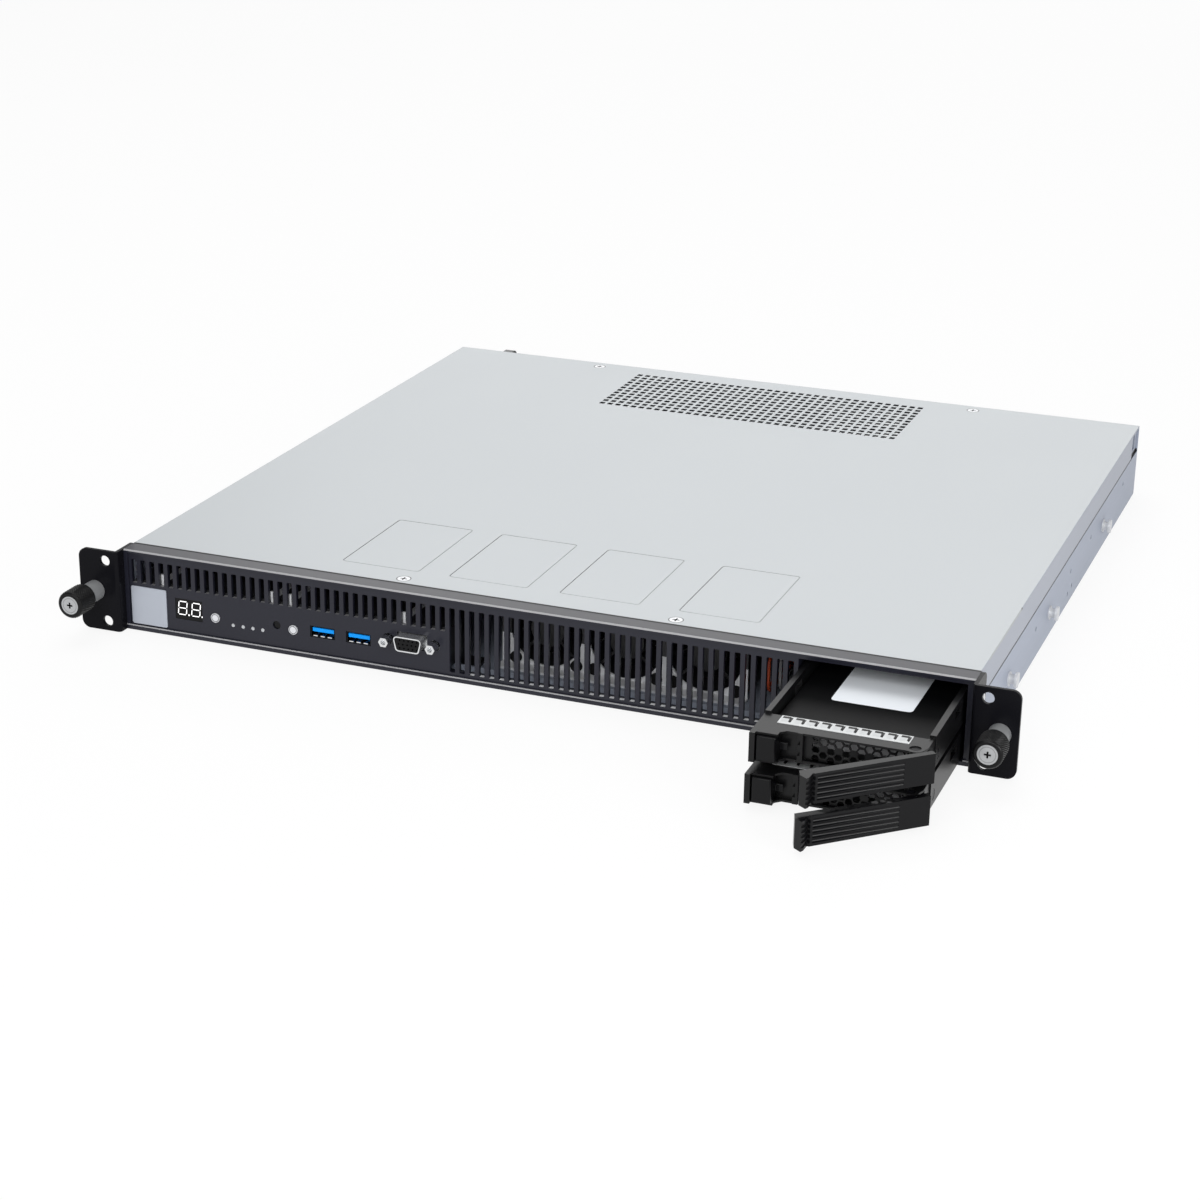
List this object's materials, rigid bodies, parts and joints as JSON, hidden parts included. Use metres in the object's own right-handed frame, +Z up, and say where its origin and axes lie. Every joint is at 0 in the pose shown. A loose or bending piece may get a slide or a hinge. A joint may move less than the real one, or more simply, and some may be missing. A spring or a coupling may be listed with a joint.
{
  "type": "1u rack server",
  "caption": "Low rack server with slotted front bezel, control area with sockets, rack ears with thumbscrews, and drive trays on opened levers beside internal fans.",
  "frame": {"origin": "on the resting plane, in the middle of the width, at the seam between front bezel and top cover", "axes": "+X to the right seen from the front, +Y to the rear, +Z up"},
  "size_m": [0.4826, 0.564, 0.0432],
  "materials": {
    "cover_paint": "satin light grey",
    "zinc_steel": "bright zinc",
    "bezel_plastic": "satin dark grey",
    "black_paint": "satin black",
    "black_plastic": "satin black",
    "bright_steel": "bright",
    "badge_silver": "satin silver",
    "display_black": "gloss black",
    "white_plastic": "white",
    "usb_blue": "blue",
    "board_green": "solder mask",
    "rubber_black": "soft black",
    "drive_black": "matt black",
    "sink_aluminium": "milled",
    "wire_red": "red insulation",
    "wire_grey": "grey insulation"
  },
  "bodies": {
    "chassis": {"backplane": "board_green", "badge_plate": "badge_silver", "base_pan": "zinc_steel", "board_posts": "bright_steel", "board_sockets": "black_plastic", "chassis_screws": "bright_steel", "cross_rail": "zinc_steel", "display_module": "display_black", "drive_cage": "black_paint", "fan_bracket": "zinc_steel", "fan_frames": "black_plastic", "fan_mounts": "rubber_black", "fan_wires_grey": "wire_grey", "fan_wires_red": "wire_red", "front_bezel": "bezel_plastic", "front_board": "board_green", "heat_sink": "sink_aluminium", "indicator_lenses": "white_plastic", "left_ear": "black_paint", "mainboard": "board_green", "memory_modules": "board_green", "panel_bracket": "zinc_steel", "power_inlet": "black_plastic", "rail_studs": "bright_steel", "rear_ports": "bright_steel", "right_ear": "black_paint", "slot_blank": "bright_steel", "socket_shells": "bright_steel", "supply_cable": "black_plastic", "supply_case": "zinc_steel", "supply_handle": "black_plastic", "thumb_ferrules": "bright_steel", "top_cover": "cover_paint", "usb_tongues": "usb_blue", "vga_insert": "black_plastic", "vga_jackscrews": "bright_steel", "wire_plugs": "white_plastic"},
    "upper_carrier": {"upper_tray": "black_paint", "upper_drive": "drive_black", "upper_fasteners": "black_paint", "upper_shield_strip": "bright_steel"},
    "lower_carrier": {"lower_tray": "black_paint", "lower_drive": "drive_black", "lower_fasteners": "black_paint", "lower_shield_strip": "bright_steel"},
    "upper_arm": {"upper_lever": "black_plastic"},
    "lower_arm": {"lower_lever": "black_plastic"},
    "upper_catch": {"upper_release": "black_plastic"},
    "lower_catch": {"lower_release": "black_plastic"},
    "power_key": {"power_button": "white_plastic"},
    "location_key": {"location_button": "white_plastic"},
    "reset_key": {"reset_button": "black_plastic"},
    "left_thumb": {"left_knob": "black_plastic", "left_captive_screw": "bright_steel"},
    "right_thumb": {"right_knob": "black_plastic", "right_captive_screw": "bright_steel"},
    "impeller_1": {"fan_rotor_1": "black_plastic"},
    "impeller_2": {"fan_rotor_2": "black_plastic"},
    "impeller_3": {"fan_rotor_3": "black_plastic"},
    "supply_impeller": {"supply_fan_rotor": "black_plastic"}
  },
  "joints": [
    {"name": "upper_tray_slide", "type": "slide", "parent": "chassis", "child": "upper_carrier", "axis": [0, 1, 0], "range_m": [-0.03, 0.0635]},
    {"name": "upper_lever_hinge", "type": "hinge", "parent": "upper_carrier", "child": "upper_arm", "pos_m": [0.2083, -0.0748, 0.0275], "axis": [0, 0, 1], "range_deg": [-41.4, 0]},
    {"name": "upper_release_press", "type": "slide", "parent": "upper_carrier", "child": "upper_catch", "axis": [0, 1, 0], "range_m": [0, 0.0015], "stiffness_N_per_m": 800},
    {"name": "lower_tray_slide", "type": "slide", "parent": "chassis", "child": "lower_carrier", "axis": [0, 1, 0], "range_m": [-0.03, 0.068]},
    {"name": "lower_lever_hinge", "type": "hinge", "parent": "lower_carrier", "child": "lower_arm", "pos_m": [0.2083, -0.0793, 0.0096], "axis": [0, 0, 1], "range_deg": [-41.4, 0]},
    {"name": "lower_release_press", "type": "slide", "parent": "lower_carrier", "child": "lower_catch", "axis": [0, 1, 0], "range_m": [0, 0.0015], "stiffness_N_per_m": 800},
    {"name": "power_press", "type": "slide", "parent": "chassis", "child": "power_key", "axis": [0, 1, 0], "range_m": [0, 0.001], "stiffness_N_per_m": 800},
    {"name": "location_press", "type": "slide", "parent": "chassis", "child": "location_key", "axis": [0, 1, 0], "range_m": [0, 0.001], "stiffness_N_per_m": 800},
    {"name": "reset_press", "type": "slide", "parent": "chassis", "child": "reset_key", "axis": [0, 1, 0], "range_m": [0, 0.001], "stiffness_N_per_m": 800},
    {"name": "left_thumb_turn", "type": "hinge", "parent": "chassis", "child": "left_thumb", "pos_m": [-0.23255, -0.03, 0.0212], "axis": [0, 1, 0], "continuous": true},
    {"name": "right_thumb_turn", "type": "hinge", "parent": "chassis", "child": "right_thumb", "pos_m": [0.23255, -0.03, 0.0212], "axis": [0, 1, 0], "continuous": true},
    {"name": "fan_1_spin", "type": "hinge", "parent": "chassis", "child": "impeller_1", "pos_m": [-0.0006, 0.035, 0.0215], "axis": [0, 1, 0], "continuous": true},
    {"name": "fan_2_spin", "type": "hinge", "parent": "chassis", "child": "impeller_2", "pos_m": [0.0408, 0.035, 0.0215], "axis": [0, 1, 0], "continuous": true},
    {"name": "fan_3_spin", "type": "hinge", "parent": "chassis", "child": "impeller_3", "pos_m": [0.0815, 0.035, 0.0215], "axis": [0, 1, 0], "continuous": true},
    {"name": "supply_fan_spin", "type": "hinge", "parent": "chassis", "child": "supply_impeller", "pos_m": [-0.164, 0.403, 0.0209], "axis": [0, 1, 0], "continuous": true}
  ]
}
